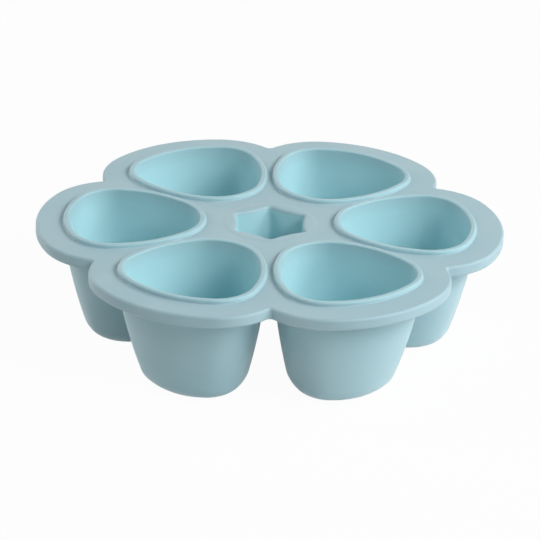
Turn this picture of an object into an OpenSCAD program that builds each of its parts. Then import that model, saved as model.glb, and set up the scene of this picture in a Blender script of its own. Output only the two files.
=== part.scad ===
// Baby food freezer tray: six deep portion cups hang in a flower-shaped deck
// round a star-shaped centre well. Every part is soft silicone.
// Millimetres. +Z is up, and the tray stands on Z = 0 with its axis on Z.
// The cup named "right" lies on +X and the others follow it anticlockwise.

/* [Cell outline] */
// Radius of a cell's inner tip, over its rim
tip_r = 24.1; // [21:0.1:27]
// Gap between the tip circles of neighbouring cells
tip_web = 4.5; // [3.5:0.1:7]
// Distance from the tray's axis to the centres of a cell's outer corner arcs
corner_dist = 69.8; // [68:0.1:74]
// Distance of the corner arcs' centres from the cell's own middle line
corner_offset = 13; // [11:0.1:14]
// Radius of a cell's outer corners, over its rim
corner_r = 19.3; // [17:0.1:20.5]
// Radius of a cell's long flanks, over its rim
flank_r = 53.4; // [48:0.1:70]
// Radius of a cell's outer end, over its rim
end_r = 48; // [43:0.5:75]

/* [Cups] */
// Height of the deck's top face above the cups' bases
cup_depth = 53.7; // [45:0.1:60]
// Wall thickness of the cups, which is also the width of their rims
cup_wall = 2.6; // [1.8:0.1:3]
// Lean of a cup's side just below the deck, in degrees
cup_draft = 5.7; // [3:0.1:8]
// Radius of the inward bow of a cup's side
cup_bow_r = 290; // [200:5:600]
// How many times further a cup's flanks lean in than its two ends
flank_lean = 1.27; // [1:0.01:1.4]
// Radius between a cup's side and its base
base_r = 7.5; // [5:0.5:10]
// Distance from the tray's axis to the middle of a cup's base
base_dist = 50.5; // [48:0.5:57]

/* [Rims] */
// Height of a cup's rim above the deck
rim_h = 1.9; // [0.8:0.1:2.5]
// Rounding of a rim's two upper edges
rim_edge_r = 0.8; // [0.3:0.1:0.9]
// Fillet where a rim meets the deck
rim_foot_r = 0.4; // [0.2:0.1:0.6]

/* [Deck] */
// Thickness of the deck
deck_t = 5.4; // [4:0.1:7]
// Width of the deck round each cell's outer side
deck_margin = 12.3; // [10.5:0.1:14]
// Rounding of the deck's outer edges
deck_edge_r = 1.2; // [0.4:0.1:1.8]
// Fillet in the notch between two lobes of the deck
notch_r = 1.6; // [1:0.1:4]

/* [Centre well] */
// Width of the deck between each cell and the star well's side
well_margin = 13.9; // [12:0.1:16]
// Depth of the star well below the deck's top face
well_depth = 38; // [20:1:42]
// Wall thickness of the star well
well_wall = 2.2; // [1.6:0.1:2.6]
// Lean of the star well's sides, in degrees
well_draft = 1.5; // [0:0.5:3]
// Rounding of the star's six points
well_point_r = 2; // [1:0.1:2.5]
// Rounding of the star's upper edge
well_edge_r = 1.2; // [0.4:0.1:1.5]
// Width of the round collar outside the star well's points
collar_land = 1.7; // [0.6:0.1:2]
// Height of the collar above the deck
collar_step = 0.2; // [0.1:0.1:0.8]

/* [Hidden] */

silicone = [0.62, 0.76, 0.80];
cells = 6;
cell_step = 360 / cells;
over = 1;                                 // how far a cut runs past a face
curve_n = 4;                              // segments in a quarter-turn profile
edge_n = 2;                               // segments in a rounded edge
collar_n = 48;                            // segments round the collar

// Heights
deck_top = cup_depth;
deck_bottom = deck_top - deck_t;
rim_top = deck_top + rim_h;
collar_top = deck_top + collar_step;
well_bottom = deck_top - well_depth;

// Centres of the arcs of one cell's outline, which lies along +X. The tip's
// lies where its circle stays half its web clear of the ray between two cells
tip_c = [(tip_r + tip_web / 2) / sin(cell_step / 2), 0];
corner_c = [corner_dist, corner_offset];
end_c = [corner_dist - sqrt(pow(end_r - corner_r, 2) - pow(corner_offset, 2)), 0];
flank_c = right_meet(tip_c, flank_r - tip_r, corner_c, flank_r - corner_r);
base_c = [base_dist, 0];
half_w = corner_offset + corner_r;        // half a cell's width over its rim

// Width of the deck between the flanks of neighbouring cells, at its narrowest
cell_web = 2 * (flank_c * [sin(cell_step / 2), -cos(cell_step / 2)] - flank_r);

// Fillets that a thin rim, deck, web or collar limits
rim_edge = min(rim_edge_r, 0.55 * rim_h, 0.4 * cup_wall);
rim_foot = min(rim_foot_r, 0.4 * rim_h, 0.4 * cell_web);
deck_edge = min(deck_edge_r, 0.4 * deck_t);
well_edge = min(well_edge_r, 0.4 * deck_t);
collar_edge = 0.8 * collar_step;

// Angles at which those arcs meet
end_a = heading(corner_c - end_c);
corner_a = heading(corner_c - flank_c);
flank_a = heading(tip_c - flank_c);

// Segments in half a cell's outline
end_n = 4;
corner_n = 5;
flank_n = 4;
tip_n = 5;

// Profile of a cup's side: how far the lean and bow run below the deck
side_h = deck_bottom - base_r;
side_n = 3;

// Direction of a vector, in degrees
function heading(v) = atan2(v.y, v.x);

// Unit vector along a direction
function unit(a) = [cos(a), sin(a)];

// Where circles round a and b meet, to the right of the line from a to b
function right_meet(a, ra, b, rb) =
    let (d = norm(b - a), u = (b - a) / d)
    let (s = (ra * ra - rb * rb + d * d) / (2 * d))
    a + s * u + sqrt(ra * ra - s * s) * [u.y, -u.x];

// Where the ray at angle a meets the circle of radius r round c:
// side is 1 for the far meeting and -1 for the near one
function on_ray(a, c, r, side) =
    let (s = c * unit(a))
    (s + side * sqrt(s * s - c * c + r * r)) * unit(a);

// Points along an arc, without its last one
function arc(c, r, a0, a1, n) =
    [for (i = [0:n - 1]) c + r * unit(a0 + (a1 - a0) * i / n)];

// A half outline from +X round to its last point, closed by its mirror image
function closed(half) =
    concat(half, [for (i = [len(half) - 2:-1:1]) [half[i].x, -half[i].y]]);

// One cell's outline, shrunk by k towards the base's middle and then grown by m
function cell_outline(k, m) =
    closed(concat(
        arc(shrunk(end_c, k), k * end_r + m, 0, end_a, end_n),
        arc(shrunk(corner_c, k), k * corner_r + m, end_a, corner_a, corner_n),
        arc(shrunk(flank_c, k), k * flank_r + m, corner_a, flank_a, flank_n),
        arc(shrunk(tip_c, k), k * tip_r + m, flank_a, 180, tip_n),
        [shrunk(tip_c, k) - [k * tip_r + m, 0]]));
function shrunk(c, k) = base_c + k * (c - base_c);

// How far a cup's side has leaned in at depth d below the deck, and its slope
function side_inset(d) = tan(cup_draft) * d + d * d / (2 * cup_bow_r);
function side_slope(d) = tan(cup_draft) + d / cup_bow_r;

// Depths of the rings on a cup: along its side, then round to its base.
// Each is [depth, inset, angle of the surface's outward normal below level]
side_rings = [for (i = [0:side_n])
    let (d = side_h * i / side_n)
    [d, side_inset(d), atan(side_slope(d))]];
turn_rings = [for (i = [1:curve_n])
    let (a = 90 * i / curve_n, d = side_h + base_r * sin(a))
    [d, side_inset(d) + base_r * (1 - cos(a)), min(90, atan(side_slope(d) + tan(a)))]];
cup_rings = concat(side_rings, turn_rings);

// Ring of a cup's outer face and, one wall inside it, of its inner face. The
// ends have come in by the ring's inset, and the flanks further
function outer_ring(r) = cup_ring(r[1], 0, deck_bottom - r[0]);
function inner_ring(r) =
    cup_ring(r[1], -cup_wall * cos(r[2]), deck_bottom - r[0] + cup_wall * sin(r[2]));
function cup_ring(inset, m, z) =
    let (k = 1 - inset / half_w, squeeze = (1 - flank_lean * inset / half_w) / k)
    [for (p = cell_outline(k, m)) [p.x, squeeze * p.y, z]];

// A flat outline at height z
function lift(points, z) = [for (p = points) [p.x, p.y, z]];

// A quarter-round edge of radius r, as pairs of [inset, drop], from its flat
// side to its upright side
function round_edge(r) =
    [for (i = [0:edge_n]) let (a = 90 * i / edge_n) r * [1 - sin(a), 1 - cos(a)]];

// Lobed outline of the deck, drawn in by e: for each lobe its outer end, its
// corners, as much of its flanks as the notches leave, and the notch fillets
notch_on_corner = heading(notch_c(corner_c, corner_r) - corner_c) < corner_a;
notch_from = notch_on_corner ? corner_c : flank_c;
notch_from_r = notch_on_corner ? corner_r : flank_r;
notch_centre = notch_c(notch_from, notch_from_r);
notch_a = heading(notch_centre - notch_from);
function notch_c(c, r) = on_ray(cell_step / 2, c, r + deck_margin + notch_r, 1);
function half_lobe(e) = concat(
    arc(end_c, end_r + deck_margin - e, 0, end_a, end_n),
    arc(corner_c, corner_r + deck_margin - e, end_a,
        notch_on_corner ? notch_a : corner_a, corner_n + 2),
    notch_on_corner ? []
        : arc(flank_c, flank_r + deck_margin - e, corner_a, notch_a, 2),
    arc(notch_centre, notch_r + e, notch_a + 180, cell_step / 2 + 180, 3),
    [notch_centre - (notch_r + e) * unit(cell_step / 2)]);
function deck_outline(e) = let (half = half_lobe(e), n = len(half))
    [for (i = [0:cells - 1]) each turned(concat(
        [for (j = [n - 2:-1:1]) [half[j].x, -half[j].y]], half), i * cell_step)];

// Points turned about the tray's axis
function turned(points, a) =
    [for (p = points) [p.x * cos(a) - p.y * sin(a), p.x * sin(a) + p.y * cos(a)]];

// Star outline of the well: its six sides run parallel to the cells' tips. It
// is shrunk by k to the axis and then grown by m
star_side_r = tip_r + well_margin;
star_point_c = on_ray(cell_step / 2, tip_c, star_side_r + well_point_r, -1);
star_a = heading(star_point_c - tip_c);
point_n = 2;                              // segments in half a point
star_side_n = 3;
function star_outline(k, m) = [for (i = [0:cells - 1]) each turned(concat(
    arc(k * [star_point_c.x, -star_point_c.y], k * well_point_r + m,
        -cell_step / 2, 180 - star_a, point_n),
    arc(k * tip_c, k * star_side_r - m, 360 - star_a, star_a, star_side_n),
    arc(k * star_point_c, k * well_point_r + m,
        star_a - 180, cell_step / 2, point_n)), i * cell_step)];
star_r = norm(star_point_c) + well_point_r;
collar_r = star_r + well_wall + collar_land;

// Ring of the star well at height z, grown by m, on the well's leaning sides
function star_ring(z, m) =
    lift(star_outline(1 - (deck_top - z) * tan(well_draft) / star_r, m), z);

// A closed solid through rings of equal length. The first and last rings are
// capped, or are joined to each other where the solid is itself a ring
module loft(rings, capped = true) {
    n = len(rings[0]);
    count = len(rings);
    spans = capped ? count - 1 : count;
    polyhedron(
        points = [for (r = rings) each r],
        faces = concat(
            capped ? [[for (j = [0:n - 1]) j]] : [],
            [for (i = [0:spans - 1]) for (j = [0:n - 1])
                let (k = (j + 1) % n, above = (i + 1) % count)
                [i * n + j, above * n + j, above * n + k, i * n + k]],
            capped ? [[for (j = [n - 1:-1:0]) (count - 1) * n + j]] : []));
}

// One cup: up its outer face, through the deck, over the rim and down inside
module cup(cell) {
    count = len(cup_rings);
    crown = round_edge(rim_edge);
    foot = [for (p = round_edge(rim_foot))
        lift(cell_outline(1, p[0]), deck_top + p[1])];
    outer_edge = [for (i = [edge_n:-1:0])
        lift(cell_outline(1, -crown[i][0]), rim_top - crown[i][1])];
    inner_edge = [for (p = crown)
        lift(cell_outline(1, p[0] - cup_wall), rim_top - p[1])];
    color(silicone) rotate([0, 0, cell * cell_step]) loft(concat(
        [for (i = [count - 1:-1:0]) outer_ring(cup_rings[i])],
        [lift(cell_outline(1, 0), deck_top)],
        foot, outer_edge, inner_edge,
        [for (r = cup_rings) inner_ring(r)]));
}

module cup_right() cup(0);
module cup_back_right() cup(1);
module cup_back_left() cup(2);
module cup_left() cup(3);
module cup_front_left() cup(4);
module cup_front_right() cup(5);

// The deck: a lobed plate, open for each cup and the collar, with a band round
// it that carries the rounded edges
module deck() {
    edge = round_edge(deck_edge);
    band = concat(
        [for (p = edge) lift(deck_outline(p[0]), deck_bottom + p[1])],
        [for (i = [edge_n:-1:0]) lift(deck_outline(edge[i][0]), deck_top - edge[i][1])]);
    color(silicone) union() {
        difference() {
            translate([0, 0, deck_bottom]) linear_extrude(deck_t)
                polygon(deck_outline(deck_edge));
            for (i = [0:cells - 1]) {
                rotate([0, 0, i * cell_step]) translate([0, 0, deck_bottom - over])
                    linear_extrude(deck_t + 2 * over) polygon(cell_outline(1, 0));
            }
            translate([0, 0, deck_bottom - over])
                cylinder(r = collar_r, h = deck_t + 2 * over, $fn = collar_n);
        }
        loft(band, capped = false);
    }
}

// The round collar that fills the deck's centre, with the well's star-shaped
// mouth cut through it and softened edges
module centre_collar() {
    lip = round_edge(well_edge);
    rounded = round_edge(collar_edge);
    color(silicone) difference() {
        rotate_extrude($fn = collar_n) polygon(concat(
            [[0, deck_bottom], [collar_r, deck_bottom]],
            [for (i = [edge_n:-1:0])
                [collar_r - rounded[i][0], collar_top - rounded[i][1]]],
            [[0, collar_top]]));
        loft(concat(
            [star_ring(deck_bottom - over, 0)],
            [for (i = [edge_n:-1:0]) star_ring(collar_top - lip[i][1], lip[i][0])],
            [star_ring(collar_top + over, lip[0][0])]));
    }
}

// The tapered star-shaped tube under the collar, open at both ends: up its
// outer face and down its inner one
module star_well() {
    color(silicone) loft([
        star_ring(well_bottom, 0),
        star_ring(well_bottom, well_wall),
        star_ring(deck_bottom, well_wall),
        star_ring(deck_bottom, 0)], capped = false);
}

deck();
cup_right();
cup_back_right();
cup_back_left();
cup_left();
cup_front_left();
cup_front_right();
centre_collar();
star_well();
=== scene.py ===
from math import atan2, cos, pi, radians, sin, sqrt, tan

import bmesh
import bpy
from mathutils import Matrix, Vector


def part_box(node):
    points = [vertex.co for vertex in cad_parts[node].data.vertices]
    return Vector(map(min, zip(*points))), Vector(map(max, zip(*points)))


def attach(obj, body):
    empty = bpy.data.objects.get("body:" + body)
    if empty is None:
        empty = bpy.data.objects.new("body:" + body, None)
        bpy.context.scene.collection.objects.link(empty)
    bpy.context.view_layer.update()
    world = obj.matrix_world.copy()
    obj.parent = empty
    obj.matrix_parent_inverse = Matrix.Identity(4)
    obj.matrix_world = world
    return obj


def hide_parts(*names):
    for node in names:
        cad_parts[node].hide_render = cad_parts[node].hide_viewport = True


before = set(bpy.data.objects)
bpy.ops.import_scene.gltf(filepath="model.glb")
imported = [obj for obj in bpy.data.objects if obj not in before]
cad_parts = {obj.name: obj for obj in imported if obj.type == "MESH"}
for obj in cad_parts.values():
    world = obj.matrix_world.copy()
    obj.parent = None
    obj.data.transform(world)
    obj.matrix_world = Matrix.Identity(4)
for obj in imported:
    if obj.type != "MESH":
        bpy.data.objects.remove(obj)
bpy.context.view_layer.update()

# ---------------------------------------------------------------------------
# The deck: the flat, lobed flange that carries the cups. It is soft silicone,
# about 5 mm thick, moulded in one shot with the cups. The mould gives it an
# even margin round every cell and a small radius along its outer edges.

deck_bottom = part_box("deck")[0].z
deck_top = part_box("deck")[1].z
deck_margin = 0.0123
deck_edge_r = 0.0012
notch_r = 0.0016
flat_border = 0.0002

cells = 6
cell_turn = 2 * pi / cells

# Each arc is drawn in so many steps, and points nearer than the weld are one.
end_steps, corner_steps, flank_steps, tip_steps = 10, 14, 12, 12
lobe_steps = 16
notch_steps = 8
deck_edge_steps = 8
collar_segments = 144
mirror_weld = 1e-7
loop_weld = 1e-6

# One cell's outline, over its rim, is four kinds of arc that meet tangent to
# each other: the outer end, two corners, two long flanks and the inner tip.
tip_c = Vector((0.0527, 0))
tip_r = 0.0241
corner_c = Vector((0.0698, 0.013))
corner_r = 0.0193
flank_r = 0.0534
end_r = 0.048
base_c = Vector((0.0505, 0))
half_width = corner_c.y + corner_r


def heading(v):
    return atan2(v.y, v.x)


def toward(angle):
    return Vector((cos(angle), sin(angle)))


def meet_right(a, ra, b, rb):
    """Where circles round a and b meet, to the right of the way from a to b."""
    gap = (b - a).length
    along = (b - a) / gap
    reach = (ra ** 2 - rb ** 2 + gap ** 2) / (2 * gap)
    return a + reach * along + sqrt(ra ** 2 - reach ** 2) * Vector((along.y, -along.x))


def on_ray(angle, c, r, side):
    """Where the ray from the axis meets the circle round c: far (1) or near (-1)."""
    nearest = c.dot(toward(angle))
    return (nearest + side * sqrt(nearest ** 2 - c.dot(c) + r ** 2)) * toward(angle)


end_c = Vector((corner_c.x - sqrt((end_r - corner_r) ** 2 - corner_c.y ** 2), 0))
flank_c = meet_right(tip_c, flank_r - tip_r, corner_c, flank_r - corner_r)
end_a = heading(corner_c - end_c)
corner_a = heading(corner_c - flank_c)
flank_a = heading(tip_c - flank_c)


def arc_loop(bm, start_x, arcs, z, turns=1):
    """A closed wire at height z: arcs swept from a point on +X, then mirrored."""
    old = set(bm.verts)
    pen = bmesh.ops.create_vert(bm, co=(start_x, 0, z))["vert"][0]
    for centre, angle, steps in arcs:
        swept = bmesh.ops.spin(bm, geom=[pen], cent=(centre.x, centre.y, z), axis=(0, 0, 1),
                               angle=angle, steps=steps)
        pen = next(g for g in swept["geom_last"] if isinstance(g, bmesh.types.BMVert))
    half = [v for v in bm.verts if v not in old]
    wire = [e for e in bm.edges if e.verts[0] not in old]
    bmesh.ops.mirror(bm, geom=half + wire, matrix=Matrix.Identity(4), merge_dist=mirror_weld,
                     axis="Y")
    if turns > 1:
        part = [v for v in bm.verts if v not in old]
        wire = [e for e in bm.edges if e.verts[0] not in old]
        bmesh.ops.spin(bm, geom=part + wire, cent=(0, 0, z), axis=(0, 0, 1),
                       angle=2 * pi * (turns - 1) / turns, steps=turns - 1, use_duplicate=True)
    bmesh.ops.remove_doubles(bm, verts=[v for v in bm.verts if v not in old], dist=loop_weld)
    return [e for e in bm.edges if e.verts[0] not in old]


def cell_loop(bm, k, m, z):
    """A cell's outline, shrunk by k towards its base's middle, then grown by m."""
    def shrunk(c):
        return base_c + k * (c - base_c)
    arcs = [(shrunk(end_c), end_a, end_steps),
            (shrunk(corner_c), corner_a - end_a, corner_steps),
            (shrunk(flank_c), flank_a - corner_a, flank_steps),
            (shrunk(tip_c), pi - flank_a, tip_steps)]
    return arc_loop(bm, shrunk(end_c).x + k * end_r + m, arcs, z)


notch_c = on_ray(cell_turn / 2, corner_c, corner_r + deck_margin + notch_r, 1)
notch_a = heading(notch_c - corner_c)


def deck_loop(bm, inset, z):
    """The deck's lobed outline, drawn in by inset."""
    arcs = [(end_c, end_a, end_steps), (corner_c, notch_a - end_a, lobe_steps),
            (notch_c, cell_turn / 2 - notch_a, notch_steps)]
    return arc_loop(bm, end_c.x + end_r + deck_margin - inset, arcs, z, cells)


def circle_loop(bm, r, z):
    ring = bmesh.ops.create_circle(bm, cap_ends=False, radius=r, segments=collar_segments,
                                   matrix=Matrix.Translation((0, 0, z)))["verts"]
    return list({e for v in ring for e in v.link_edges})


def quarter(r, steps):
    """A rounded edge as (inset, drop) pairs, from its flat side to its upright side."""
    return [(r * (1 - sin(pi / 2 * i / steps)), r * (1 - cos(pi / 2 * i / steps)))
            for i in range(steps + 1)]


def loft(bm, loops):
    for low, high in zip(loops, loops[1:]):
        bmesh.ops.bridge_loops(bm, edges=low + high)


def fill_flat(bm, loops, up):
    """A flat face between an outer loop and its openings, with a narrow border
    that keeps it flat where it turns into a rounded edge."""
    filled = bmesh.ops.triangle_fill(bm, use_beauty=True, normal=(0, 0, up),
                                     edges=[e for loop in loops for e in loop])
    flat = [g for g in filled["geom"] if isinstance(g, bmesh.types.BMFace)]
    bmesh.ops.inset_region(bm, faces=flat, thickness=flat_border, use_even_offset=True)


def sharpen(loop):
    for edge in loop:
        edge.smooth = False


def make_piece(bm, name, material, *nodes):
    """The finished mesh as an object that stands for its nodes."""
    bmesh.ops.recalc_face_normals(bm, faces=bm.faces)
    for face in bm.faces:
        face.smooth = True
    mesh = bpy.data.meshes.new(name)
    bm.to_mesh(mesh)
    bm.free()
    return show_piece(mesh, name, material, *nodes)


def show_piece(mesh, name, material, *nodes):
    piece = bpy.data.objects.new(name, mesh)
    bpy.context.scene.collection.objects.link(piece)
    mesh.materials.clear()
    mesh.materials.append(material)
    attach(piece, "root")
    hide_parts(*nodes)
    return piece


def new_group(name, inputs, outputs):
    """An empty node group with float sockets, and its in and out nodes."""
    group = bpy.data.node_groups.new(name, "ShaderNodeTree")
    for label, value in inputs.items():
        socket = group.interface.new_socket(label, in_out="INPUT", socket_type="NodeSocketFloat")
        socket.default_value = value
    for label in outputs:
        group.interface.new_socket(label, in_out="OUTPUT", socket_type="NodeSocketFloat")
    return group, group.nodes.new("NodeGroupInput"), group.nodes.new("NodeGroupOutput")


def node(tree, kind, **settings):
    made = tree.nodes.new(kind)
    for key, value in settings.items():
        setattr(made, key, value)
    return made


def noise(tree, where, size, detail, rough):
    """Noise of a given size in metres, on the object's own coordinates."""
    per_metre = node(tree, "ShaderNodeMath", operation="DIVIDE")
    per_metre.inputs[0].default_value = 1
    tree.links.new(size, per_metre.inputs[1])
    made = node(tree, "ShaderNodeTexNoise")
    made.inputs["Detail"].default_value = detail
    made.inputs["Roughness"].default_value = rough
    tree.links.new(where, made.inputs["Vector"])
    tree.links.new(per_metre.outputs[0], made.inputs["Scale"])
    return made.outputs["Fac"]


# The mould's etched surface prints a fine grain on the silicone, over
# slow ripples where the soft walls relax out of the mould.
grain_group, grain_in, grain_out = new_group(
    "mould_grain", {"Grain Size": 0.0004, "Ripple Size": 0.02, "Ripple Share": 0.6}, ["Height"])
where = node(grain_group, "ShaderNodeTexCoord").outputs["Object"]
fine = noise(grain_group, where, grain_in.outputs["Grain Size"], detail=3, rough=0.6)
slow = noise(grain_group, where, grain_in.outputs["Ripple Size"], detail=1, rough=0.5)
blend = node(grain_group, "ShaderNodeMix", data_type="FLOAT")
grain_group.links.new(grain_in.outputs["Ripple Share"], blend.inputs["Factor"])
grain_group.links.new(fine, blend.inputs["A"])
grain_group.links.new(slow, blend.inputs["B"])
grain_group.links.new(blend.outputs["Result"], grain_out.inputs["Height"])

# Silicone picks up a faint bloom in handling: patches a little paler and
# drier than the rest.
bloom_group, bloom_in, bloom_out = new_group(
    "handling_bloom", {"Patch Size": 0.03, "Low": 0.0, "High": 1.0}, ["Mask"])
bloom_starts, bloom_is_full = 0.35, 0.65
where = node(bloom_group, "ShaderNodeTexCoord").outputs["Object"]
patches = noise(bloom_group, where, bloom_in.outputs["Patch Size"], detail=5, rough=0.55)
spread = node(bloom_group, "ShaderNodeMapRange", interpolation_type="SMOOTHSTEP")
spread.inputs["From Min"].default_value = bloom_starts
spread.inputs["From Max"].default_value = bloom_is_full
bloom_group.links.new(patches, spread.inputs["Value"])
bloom_group.links.new(bloom_in.outputs["Low"], spread.inputs["To Min"])
bloom_group.links.new(bloom_in.outputs["High"], spread.inputs["To Max"])
bloom_group.links.new(spread.outputs["Result"], bloom_out.inputs["Mask"])

dry_patch = 0.012


def silicone(name, colour, bloom_colour, painted_glow_colour, roughness, grain_depth):
    """Satin silicone: its own colour, a paler bloom, a lighter and clearer painted glow colour
    that stands in for light soaking through thin walls, and the mould's grain. Its roughness is a
    pair, from the smooth places to the dry ones."""
    made = bpy.data.materials.new(name)
    made.use_nodes = True
    tree = made.node_tree
    shader = tree.nodes["Principled BSDF"]
    # A point attribute mixes in painted glow: a lighter, clearer teal that stands in for light
    # soaking through the thin walls.
    glow_attribute = node(tree, "ShaderNodeAttribute", attribute_name="painted_glow_share")
    glow_mix = node(tree, "ShaderNodeMix", data_type="RGBA")
    glow_mix.inputs["B"].default_value = (*painted_glow_colour, 1)
    tree.links.new(glow_attribute.outputs["Fac"], glow_mix.inputs["Factor"])
    bloom = node(tree, "ShaderNodeGroup", node_tree=bloom_group)
    dry = node(tree, "ShaderNodeGroup", node_tree=bloom_group)
    dry.inputs["Patch Size"].default_value = dry_patch
    dry.inputs["Low"].default_value = roughness[0]
    dry.inputs["High"].default_value = roughness[1]
    tint = node(tree, "ShaderNodeMix", data_type="RGBA")
    tint.inputs["A"].default_value = (*colour, 1)
    tint.inputs["B"].default_value = (*bloom_colour, 1)
    grain = node(tree, "ShaderNodeGroup", node_tree=grain_group)
    bump = node(tree, "ShaderNodeBump")
    bump.inputs["Distance"].default_value = grain_depth
    bump.inputs["Strength"].default_value = 0.5
    tree.links.new(bloom.outputs["Mask"], tint.inputs["Factor"])
    tree.links.new(tint.outputs["Result"], glow_mix.inputs["A"])
    tree.links.new(glow_mix.outputs["Result"], shader.inputs["Base Color"])
    tree.links.new(dry.outputs["Mask"], shader.inputs["Roughness"])
    tree.links.new(grain.outputs["Height"], bump.inputs["Height"])
    tree.links.new(bump.outputs["Normal"], shader.inputs["Normal"])
    shader.inputs["IOR"].default_value = 1.41
    shader.inputs["Specular IOR Level"].default_value = 0.8
    shader.inputs["Sheen Weight"].default_value = 0.3
    shader.inputs["Sheen Roughness"].default_value = 0.5
    shader.inputs["Sheen Tint"].default_value = (1, 1, 1, 1)
    return made


# The third colour is painted glow, the teal that stands in for light soaking through a thin wall.
pale_blue = silicone("pale_blue_silicone", colour=(0.38, 0.58, 0.645),
                     bloom_colour=(0.405, 0.595, 0.655), painted_glow_colour=(0.455, 0.765, 0.825),
                     roughness=(0.48, 0.58), grain_depth=0.00005)

bm = bmesh.new()
rounding = quarter(deck_edge_r, deck_edge_steps)
under = [deck_loop(bm, inset, deck_bottom + drop) for inset, drop in rounding]
over = [deck_loop(bm, inset, deck_top - drop) for inset, drop in rounding[::-1]]
loft(bm, under + over)
collar_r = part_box("centre_collar")[1].x
low_holes = [circle_loop(bm, collar_r, deck_bottom)]
high_holes = [circle_loop(bm, collar_r, deck_top)]
for i in range(cells):
    for holes, z in ((low_holes, deck_bottom), (high_holes, deck_top)):
        hole = cell_loop(bm, 1, 0, z)
        bmesh.ops.rotate(bm, verts=list({v for e in hole for v in e.verts}), cent=(0, 0, 0),
                         matrix=Matrix.Rotation(i * cell_turn, 3, "Z"))
        holes.append(hole)
fill_flat(bm, [under[0]] + low_holes, -1)
fill_flat(bm, [over[-1]] + high_holes, 1)
for low, high in zip(low_holes, high_holes):
    loft(bm, [low, high])
    sharpen(low + high)
make_piece(bm, "deck_flange", pale_blue, "deck")

# ---------------------------------------------------------------------------
# The portion cups: deep rounded triangles moulded in the deck's silicone, one
# wall thick all over. Each wall leans in as it goes down, bows slightly and
# rounds into a flat base, and stands proud of the deck as a rolled rim.

cup_wall = 0.0026
cup_draft = radians(5.7)
cup_bow_r = 0.290
flank_lean = 1.27
base_r = 0.0075
rim_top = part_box("cup_right")[1].z
rim_edge_r = 0.0008
rim_foot_r = 0.0004
side_depth = deck_bottom - base_r
side_steps = 12
base_steps = 10
rim_edge_steps = 6
rim_foot_steps = 5


def side_inset(depth):
    return tan(cup_draft) * depth + depth ** 2 / (2 * cup_bow_r)


def side_slope(depth):
    return tan(cup_draft) + depth / cup_bow_r


def cup_loop(bm, inset, m, z):
    """A ring of the cup: its ends have come in by inset, and its flanks further."""
    k = 1 - inset / half_width
    ring = cell_loop(bm, k, m, z)
    squeeze = (1 - flank_lean * inset / half_width) / k
    bmesh.ops.scale(bm, vec=(1, squeeze, 1), verts=list({v for e in ring for v in e.verts}))
    return ring


def mark_painted_glow(bm, loops, amount):
    """How much painted glow each point gets, standing in for light soaking through a thin wall,
    kept on its points as an attribute.
    """
    layer = bm.verts.layers.float["painted_glow_share"]
    for vert in {v for loop in loops for e in loop for v in e.verts}:
        vert[layer] = amount


# The wall's profile below the deck, as depth, inset and lean from upright.
side = [(d, side_inset(d), atan2(side_slope(d), 1))
        for d in (side_depth * i / side_steps for i in range(side_steps + 1))]
for i in range(1, base_steps + 1):
    turn = pi / 2 * i / base_steps
    depth = side_depth + base_r * sin(turn)
    lean = min(pi / 2, atan2(side_slope(depth) + tan(turn), 1))
    side.append((depth, side_inset(depth) + base_r * (1 - cos(turn)), lean))

# Shares of painted glow, standing in for light soaking through the walls: some on the outsides,
# half on the rims so they read lighter, and all of it on the insides.
painted_glow_outside = 0.3
painted_glow_rim = 0.5
painted_glow_inside = 1

bm = bmesh.new()
bm.verts.layers.float.new("painted_glow_share")
outside = [cup_loop(bm, inset, 0, deck_bottom - depth) for depth, inset, lean in reversed(side)]
foot = [cell_loop(bm, 1, inset, deck_top + rise)
        for inset, rise in quarter(rim_foot_r, rim_foot_steps)]
rim_rounding = quarter(rim_edge_r, rim_edge_steps)
rim_out = [cell_loop(bm, 1, -inset, rim_top - drop) for inset, drop in rim_rounding[::-1]]
rim_in = [cell_loop(bm, 1, inset - cup_wall, rim_top - drop) for inset, drop in rim_rounding]
inside = [cup_loop(bm, inset, -cup_wall * cos(lean), deck_bottom - depth + cup_wall * sin(lean))
          for depth, inset, lean in side]
seat = cell_loop(bm, 1, 0, deck_top)
loft(bm, outside + [seat])
fill_flat(bm, [seat, foot[0]], -1)
loft(bm, foot + rim_out)
fill_flat(bm, [rim_out[-1], rim_in[0]], 1)
loft(bm, rim_in + inside)
for ring in (outside[0], inside[-1]):
    bmesh.ops.contextual_create(bm, geom=ring)
# Paint the glow on: the outside, the rim and the inside each get their share.
mark_painted_glow(bm, outside, painted_glow_outside)
mark_painted_glow(bm, rim_out + rim_in, painted_glow_rim)
mark_painted_glow(bm, inside, painted_glow_inside)
sharpen(seat + foot[0])
first_cup = make_piece(bm, "cup_shell_right", pale_blue, "cup_right")

others = ["back_right", "back_left", "left", "front_left", "front_right"]
for i, place in enumerate(others, start=1):
    mesh = first_cup.data.copy()
    mesh.transform(Matrix.Rotation(i * cell_turn, 4, "Z"))
    show_piece(mesh, "cup_shell_" + place, pale_blue, "cup_" + place)

# ---------------------------------------------------------------------------
# The centre: a low round collar in the middle of the deck, and below it a
# star-shaped tube, open at both ends. It is the same silicone, and its six
# sides run parallel to the tips of the cups round it.

collar_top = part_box("centre_collar")[1].z
well_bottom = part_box("star_well")[0].z
well_margin = 0.0139
well_wall = 0.0022
well_draft = radians(1.5)
well_point_r = 0.002
well_edge_r = 0.0015
collar_slope = 0.0019
star_side_r = tip_r + well_margin
star_point_c = on_ray(cell_turn / 2, tip_c, star_side_r + well_point_r, -1)
star_a = heading(star_point_c - tip_c)
star_r = star_point_c.length + well_point_r
star_side_steps = 10
star_point_steps = 8
swell_steps = 6
lip_steps = 7


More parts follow.
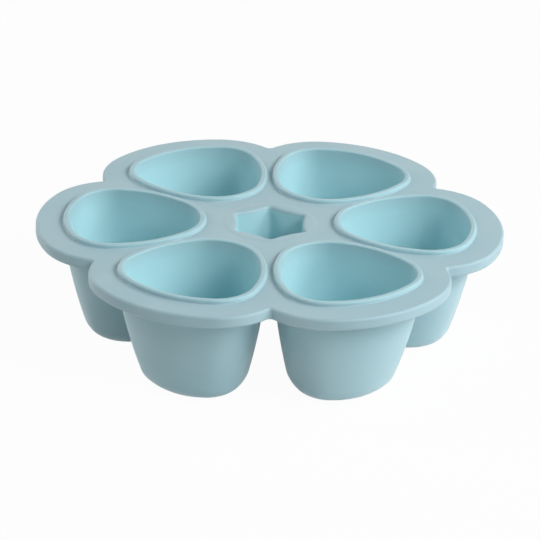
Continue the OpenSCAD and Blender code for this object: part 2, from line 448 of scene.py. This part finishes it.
def star_loop(bm, m, z):
    """The well's outline at height z on its leaning sides, grown by m."""
    k = 1 - (deck_top - z) * tan(well_draft) / star_r
    arcs = [(k * tip_c, star_a - pi, star_side_steps),
            (k * star_point_c, cell_turn / 2 + pi - star_a, star_point_steps)]
    return arc_loop(bm, k * (tip_c.x - star_side_r) + m, arcs, z, cells)


def smooth_rise(run):
    """From 0 to 1 with a level start and end."""
    return run ** 2 * (3 - 2 * run)


bm = bmesh.new()
bm.verts.layers.float.new("painted_glow_share")
tube = [star_loop(bm, well_wall, z) for z in (well_bottom, deck_bottom)]
collar_low = circle_loop(bm, collar_r, deck_bottom)
collar = [circle_loop(bm, collar_r - collar_slope * run,
                      deck_top + (collar_top - deck_top) * smooth_rise(run))
          for run in (i / swell_steps for i in range(swell_steps + 1))]
lip = [star_loop(bm, inset, collar_top - drop) for inset, drop in quarter(well_edge_r, lip_steps)]
bore_end = star_loop(bm, 0, well_bottom)
loft(bm, tube)
fill_flat(bm, [tube[-1], collar_low], -1)
loft(bm, [collar_low] + collar)
fill_flat(bm, [collar[-1], lip[0]], 1)
loft(bm, lip + [bore_end])
fill_flat(bm, [tube[0], bore_end], -1)
# The star well's tube gets the outside's share of painted glow, and its bore gets the inside's
# share.
mark_painted_glow(bm, tube, painted_glow_outside)
mark_painted_glow(bm, [lip[-1], bore_end], painted_glow_inside)
sharpen(tube[0] + tube[-1] + collar_low + collar[0] + bore_end)
make_piece(bm, "centre_star_well", pale_blue, "centre_collar", "star_well")

# ---------------------------------------------------------------------------
# The studio: the tray stands on a plain white sweep in a ring of soft lights,
# strongest on its right and front right, weaker on its left, with low ones
# that reach under the deck from the right, the left and the back left.

floor_size = 8.0
floor_glow = 0.96
paper_white = (0.8, 0.8, 0.8)
sky_on_tray = 0.03
sky_seen = 1.0


def white_rays(tree):
    """1 for the rays that see the white studio: camera, glossy and transmission."""
    path = node(tree, "ShaderNodeLightPath")
    sees = path.outputs["Is Camera Ray"]
    for kind in ("Is Glossy Ray", "Is Transmission Ray"):
        either = node(tree, "ShaderNodeMath", operation="MAXIMUM")
        tree.links.new(sees, either.inputs[0])
        tree.links.new(path.outputs[kind], either.inputs[1])
        sees = either.outputs[0]
    return sees


bm = bmesh.new()
bmesh.ops.create_grid(bm, x_segments=1, y_segments=1, size=floor_size / 2)
mesh = bpy.data.meshes.new("studio_floor")
bm.to_mesh(mesh)
bm.free()
floor = bpy.data.objects.new("studio_floor", mesh)
bpy.context.scene.collection.objects.link(floor)

sweep = bpy.data.materials.new("white_sweep")
sweep.use_nodes = True
tree = sweep.node_tree
paper = tree.nodes["Principled BSDF"]
paper.inputs["Base Color"].default_value = (*paper_white, 1)
paper.inputs["Roughness"].default_value = 0.9
paper.inputs["Specular IOR Level"].default_value = 0.1
glow = node(tree, "ShaderNodeEmission")
glow.inputs["Color"].default_value = (1, 1, 1, 1)
glow.inputs["Strength"].default_value = 1.0
share = node(tree, "ShaderNodeMath", operation="MULTIPLY")
share.inputs[1].default_value = floor_glow
mix = node(tree, "ShaderNodeMixShader")
tree.links.new(white_rays(tree), share.inputs[0])
tree.links.new(share.outputs[0], mix.inputs["Fac"])
tree.links.new(paper.outputs["BSDF"], mix.inputs[1])
tree.links.new(glow.outputs["Emission"], mix.inputs[2])
tree.links.new(mix.outputs["Shader"], tree.nodes["Material Output"].inputs["Surface"])
floor.data.materials.append(sweep)

world = bpy.data.worlds.new("studio_world")
bpy.context.scene.world = world
world.use_nodes = True
tree = world.node_tree
sky = tree.nodes["Background"]
sky.inputs["Color"].default_value = (1, 1, 1, 1)
level = node(tree, "ShaderNodeMapRange")
level.inputs["To Min"].default_value = sky_on_tray
level.inputs["To Max"].default_value = sky_seen
tree.links.new(white_rays(tree), level.inputs["Value"])
tree.links.new(level.outputs["Result"], sky.inputs["Strength"])

tray_middle = Vector((0, 0, deck_bottom))
light_size = 0.6
light_reach = 1.4
lowest_light = 0.32


def softbox(name, bearing, height, power):
    """A square soft light on a ring round the tray: its bearing in degrees from
    the viewer's side, over the tray's right, and its height in degrees."""
    light = bpy.data.lights.new(name, "AREA")
    light.shape = "SQUARE"
    light.size = light_size
    light.energy = power
    lamp = bpy.data.objects.new(name, light)
    out = Vector((sin(radians(bearing)), -cos(radians(bearing)), 0))
    place = tray_middle + light_reach * (cos(radians(height)) * out
                                         + sin(radians(height)) * Vector((0, 0, 1)))
    place.z = max(place.z, lowest_light)
    lamp.location = place
    lamp.rotation_euler = (tray_middle - place).to_track_quat("-Z", "Y").to_euler()
    bpy.context.scene.collection.objects.link(lamp)


for name, bearing, height, power in (
        ("key_front_right", 45, 35, 9.4),
        ("key_right", 90, 35, 9.4),
        ("fill_left", 270, 35, 4.6),
        ("low_back_left", 225, 8, 4.2),
        ("low_right", 90, 8, 2.0),
        ("low_left", 270, 8, 0.8)):
    softbox(name, bearing, height, power)

# The camera's height, turn, roll and distance were fitted to the outline of
# the tray in the photograph. It aims a little below the middle of the deck.
camera_height = radians(24.870)
camera_turn = radians(-0.752)
camera_roll = radians(1.539)
camera_distance = 1.1507
aim_below = 0.02128
lens_mm = 171.578
sensor_mm = 36
nearest_seen = 0.01

camera = bpy.data.objects.new("camera", bpy.data.cameras.new("camera"))
camera.data.sensor_width = sensor_mm
camera.data.lens = lens_mm
camera.data.clip_start = nearest_seen
turned = (Matrix.Rotation(camera_turn, 4, "Z") @ Matrix.Rotation(pi / 2 - camera_height, 4, "X")
          @ Matrix.Rotation(camera_roll, 4, "Z"))
stand = turned @ Vector((0, -aim_below, camera_distance)) + Vector((0, 0, deck_top))
camera.matrix_world = Matrix.Translation(stand) @ turned
bpy.context.scene.collection.objects.link(camera)
bpy.context.scene.camera = camera
bpy.context.scene.view_settings.view_transform = "Standard"
